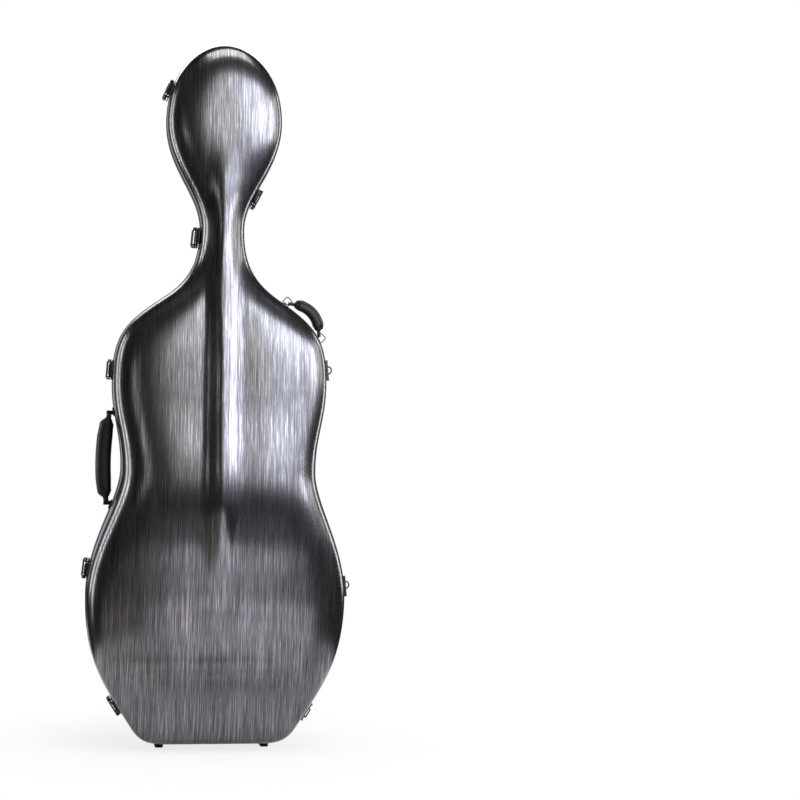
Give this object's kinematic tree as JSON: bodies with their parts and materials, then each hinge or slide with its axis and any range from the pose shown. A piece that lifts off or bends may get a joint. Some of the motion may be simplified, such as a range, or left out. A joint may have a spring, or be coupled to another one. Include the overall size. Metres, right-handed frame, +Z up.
{
  "type": "hard cello case",
  "caption": "Tall moulded hard case in the outline of a cello that opens like a book on side hinges, with draw latches, padded handles, strap rings, feet and wheels.",
  "frame": {"origin": "middle of the bounding box on the floor, under the case as it stands on its feet and wheels", "axes": "+Z up along the case's length, +Y to the back (base half), -Y to the front (lid half), +X to the hinge side, which is on the right seen from the front"},
  "size_m": [0.5164, 0.3148, 1.3425],
  "materials": {
    "brushed_polycarbonate": "glossy dark grey with a fine brushed look",
    "black_coated_steel": "satin black coating",
    "black_rubber": "matt",
    "black_leather": "fine grain, half gloss",
    "dark_plush": "soft plush over foam",
    "clear_urethane": "clear, slightly cloudy"
  },
  "bodies": {
    "base": {"base_shell": "brushed_polycarbonate", "base_lining": "dark_plush", "base_edge_trim": "black_rubber", "latch_plate_left_head": "black_coated_steel", "latch_plate_left_neck": "black_coated_steel", "latch_plate_left_upper_bout": "black_coated_steel", "latch_plate_left_lower_bout": "black_coated_steel", "latch_plate_left_bottom": "black_coated_steel", "latch_plate_right_neck": "black_coated_steel", "latch_plate_right_bottom": "black_coated_steel", "hinge_lower_base_leaf": "black_coated_steel", "hinge_upper_base_leaf": "black_coated_steel", "strap_hook_plate": "black_coated_steel", "head_ring_plate": "black_coated_steel", "bottom_ring_plate_left": "black_coated_steel", "bottom_ring_plate_right": "black_coated_steel", "back_bumper": "black_rubber", "foot_left": "black_rubber", "foot_right": "black_rubber", "wheel_bracket_left": "black_coated_steel", "wheel_bracket_right": "black_coated_steel", "carry_handle_anchor_lower": "black_coated_steel", "carry_handle_anchor_upper": "black_coated_steel", "shoulder_handle_anchor_lower": "black_coated_steel", "shoulder_handle_anchor_upper": "black_coated_steel", "neck_cradle": "dark_plush"},
    "lid": {"lid_shell": "brushed_polycarbonate", "lid_edge_trim": "black_rubber", "lid_lining": "dark_plush", "hinge_lower_lid_leaf": "black_coated_steel", "hinge_upper_lid_leaf": "black_coated_steel", "bow_pocket": "dark_plush"},
    "bow_turn_knob": {"bow_turn_knob": "black_coated_steel"},
    "lever_left_head": {"latch_lever_left_head": "black_coated_steel"},
    "bail_left_head": {"latch_bail_left_head": "black_coated_steel"},
    "lever_left_neck": {"latch_lever_left_neck": "black_coated_steel"},
    "bail_left_neck": {"latch_bail_left_neck": "black_coated_steel"},
    "lever_left_upper_bout": {"latch_lever_left_upper_bout": "black_coated_steel"},
    "bail_left_upper_bout": {"latch_bail_left_upper_bout": "black_coated_steel"},
    "lever_left_lower_bout": {"latch_lever_left_lower_bout": "black_coated_steel"},
    "bail_left_lower_bout": {"latch_bail_left_lower_bout": "black_coated_steel"},
    "lever_left_bottom": {"latch_lever_left_bottom": "black_coated_steel"},
    "bail_left_bottom": {"latch_bail_left_bottom": "black_coated_steel"},
    "lever_right_neck": {"latch_lever_right_neck": "black_coated_steel"},
    "bail_right_neck": {"latch_bail_right_neck": "black_coated_steel"},
    "lever_right_bottom": {"latch_lever_right_bottom": "black_coated_steel"},
    "bail_right_bottom": {"latch_bail_right_bottom": "black_coated_steel"},
    "carry_handle": {"carry_handle_grip": "black_leather"},
    "shoulder_handle": {"shoulder_handle_grip": "black_leather", "shoulder_handle_link_lower": "black_coated_steel", "shoulder_handle_link_upper": "black_coated_steel"},
    "strap_hook_ring_left": {"strap_hook_ring_left": "black_coated_steel"},
    "strap_hook_ring_right": {"strap_hook_ring_right": "black_coated_steel"},
    "head_ring": {"head_ring": "black_coated_steel"},
    "bottom_ring_left": {"bottom_ring_left": "black_coated_steel"},
    "bottom_ring_right": {"bottom_ring_right": "black_coated_steel"},
    "strap_side_ring_lower": {"strap_side_ring_lower": "black_coated_steel"},
    "strap_side_ring_upper": {"strap_side_ring_upper": "black_coated_steel"},
    "wheel_left": {"wheel_left": "clear_urethane"},
    "wheel_right": {"wheel_right": "clear_urethane"}
  },
  "joints": [
    {"name": "lid_hinge", "type": "hinge", "parent": "base", "child": "lid", "pos_m": [0.24465, -0.03359, 0.311], "axis": [-0.1017, 0, 0.9948], "range_deg": [0, 130]},
    {"name": "lever_left_head_pivot", "type": "hinge", "parent": "base", "child": "lever_left_head", "pos_m": [-0.11019, -0.02259, 1.25772], "axis": [0.3945, 0, 0.9189], "range_deg": [0, 110]},
    {"name": "bail_left_head_pivot", "type": "hinge", "parent": "lever_left_head", "child": "bail_left_head", "pos_m": [-0.10963, -0.01459, 1.25748], "axis": [0.3945, 0, 0.9189], "range_deg": [-121, 0]},
    {"name": "lever_left_neck_pivot", "type": "hinge", "parent": "base", "child": "lever_left_neck", "pos_m": [-0.05491, -0.02259, 0.97663], "axis": [0.0838, 0, 0.9965], "range_deg": [0, 110]},
    {"name": "bail_left_neck_pivot", "type": "hinge", "parent": "lever_left_neck", "child": "bail_left_neck", "pos_m": [-0.05432, -0.01459, 0.97658], "axis": [0.0838, 0, 0.9965], "range_deg": [-121, 0]},
    {"name": "lever_left_upper_bout_pivot", "type": "hinge", "parent": "base", "child": "lever_left_upper_bout", "pos_m": [-0.21229, -0.02259, 0.72048], "axis": [0.069, 0, 0.9976], "range_deg": [0, 110]},
    {"name": "bail_left_upper_bout_pivot", "type": "hinge", "parent": "lever_left_upper_bout", "child": "bail_left_upper_bout", "pos_m": [-0.21169, -0.01459, 0.72043], "axis": [0.069, 0, 0.9976], "range_deg": [-121, 0]},
    {"name": "lever_left_lower_bout_pivot", "type": "hinge", "parent": "base", "child": "lever_left_lower_bout", "pos_m": [-0.25094, -0.02259, 0.34177], "axis": [0.1116, 0, 0.9938], "range_deg": [0, 110]},
    {"name": "bail_left_lower_bout_pivot", "type": "hinge", "parent": "lever_left_lower_bout", "child": "bail_left_lower_bout", "pos_m": [-0.25034, -0.01459, 0.3417], "axis": [0.1116, 0, 0.9938], "range_deg": [-121, 0]},
    {"name": "lever_left_bottom_pivot", "type": "hinge", "parent": "base", "child": "lever_left_bottom", "pos_m": [-0.19268, -0.02259, 0.07928], "axis": [-0.5399, 0, 0.8418], "range_deg": [0, 110]},
    {"name": "bail_left_bottom_pivot", "type": "hinge", "parent": "lever_left_bottom", "child": "bail_left_bottom", "pos_m": [-0.19217, -0.01459, 0.0796], "axis": [-0.5399, 0, 0.8418], "range_deg": [-121, 0]},
    {"name": "lever_right_neck_pivot", "type": "hinge", "parent": "base", "child": "lever_right_neck", "pos_m": [0.06264, -0.02259, 1.05387], "axis": [-0.4549, 0, -0.8906], "range_deg": [0, 110]},
    {"name": "bail_right_neck_pivot", "type": "hinge", "parent": "lever_right_neck", "child": "bail_right_neck", "pos_m": [0.06211, -0.01459, 1.05414], "axis": [-0.4549, 0, -0.8906], "range_deg": [-121, 0]},
    {"name": "lever_right_bottom_pivot", "type": "hinge", "parent": "base", "child": "lever_right_bottom", "pos_m": [0.17597, -0.02259, 0.06728], "axis": [-0.5399, 0, -0.8418], "range_deg": [0, 110]},
    {"name": "bail_right_bottom_pivot", "type": "hinge", "parent": "lever_right_bottom", "child": "bail_right_bottom", "pos_m": [0.17547, -0.01459, 0.0676], "axis": [-0.5399, 0, -0.8418], "range_deg": [-121, 0]},
    {"name": "carry_handle_swing", "type": "hinge", "parent": "base", "child": "carry_handle", "pos_m": [-0.21227, -0.00359, 0.55224], "axis": [-0.0169, 0, -0.9999], "range_deg": [-70, 70]},
    {"name": "shoulder_handle_swing", "type": "hinge", "parent": "base", "child": "shoulder_handle", "pos_m": [0.15578, -0.00359, 0.81973], "axis": [-0.6952, 0, 0.7188], "range_deg": [-45, 45]},
    {"name": "strap_hook_ring_left_swing", "type": "hinge", "parent": "base", "child": "strap_hook_ring_left", "pos_m": [0.0125, 0.08884, 0.8253], "axis": [1, 0, 0], "range_deg": [0, 150]},
    {"name": "strap_hook_ring_right_swing", "type": "hinge", "parent": "base", "child": "strap_hook_ring_right", "pos_m": [-0.0215, 0.08884, 0.8253], "axis": [1, 0, 0], "range_deg": [0, 150]},
    {"name": "head_ring_swing", "type": "hinge", "parent": "base", "child": "head_ring", "pos_m": [-0.0045, 0.04662, 1.31793], "axis": [1, 0, 0], "range_deg": [0, 150]},
    {"name": "bottom_ring_left_swing", "type": "hinge", "parent": "base", "child": "bottom_ring_left", "pos_m": [-0.15153, 0.11323, 0.09541], "axis": [0.9327, 0.3607, 0], "range_deg": [0, 150]},
    {"name": "bottom_ring_right_swing", "type": "hinge", "parent": "base", "child": "bottom_ring_right", "pos_m": [0.14252, 0.11323, 0.09541], "axis": [0.9327, -0.3607, 0], "range_deg": [0, 150]},
    {"name": "strap_side_ring_lower_swing", "type": "hinge", "parent": "base", "child": "strap_side_ring_lower", "pos_m": [0.24211, -0.01309, 0.31074], "axis": [-0.1017, 0, 0.9948], "range_deg": [-70, 70]},
    {"name": "strap_side_ring_upper_swing", "type": "hinge", "parent": "base", "child": "strap_side_ring_upper", "pos_m": [0.20008, -0.01309, 0.72679], "axis": [-0.1017, 0, 0.9948], "range_deg": [-70, 70]},
    {"name": "wheel_left_spin", "type": "hinge", "parent": "base", "child": "wheel_left", "pos_m": [-0.1, 0.13241, 0.025], "axis": [1, 0, 0], "continuous": true},
    {"name": "wheel_right_spin", "type": "hinge", "parent": "base", "child": "wheel_right", "pos_m": [0.091, 0.13241, 0.025], "axis": [1, 0, 0], "continuous": true},
    {"name": "bow_turn_knob_spin", "type": "hinge", "parent": "lid", "child": "bow_turn_knob", "pos_m": [-0.1095, -0.09532, 0.74], "axis": [0, 1, 0], "continuous": true}
  ],
  "couplings": [
    {"joint": "bail_left_head_pivot", "follows": "lever_left_head_pivot", "ratio": -1.1},
    {"joint": "bail_left_neck_pivot", "follows": "lever_left_neck_pivot", "ratio": -1.1},
    {"joint": "bail_left_upper_bout_pivot", "follows": "lever_left_upper_bout_pivot", "ratio": -1.1},
    {"joint": "bail_left_lower_bout_pivot", "follows": "lever_left_lower_bout_pivot", "ratio": -1.1},
    {"joint": "bail_left_bottom_pivot", "follows": "lever_left_bottom_pivot", "ratio": -1.1},
    {"joint": "bail_right_neck_pivot", "follows": "lever_right_neck_pivot", "ratio": -1.1},
    {"joint": "bail_right_bottom_pivot", "follows": "lever_right_bottom_pivot", "ratio": -1.1}
  ]
}
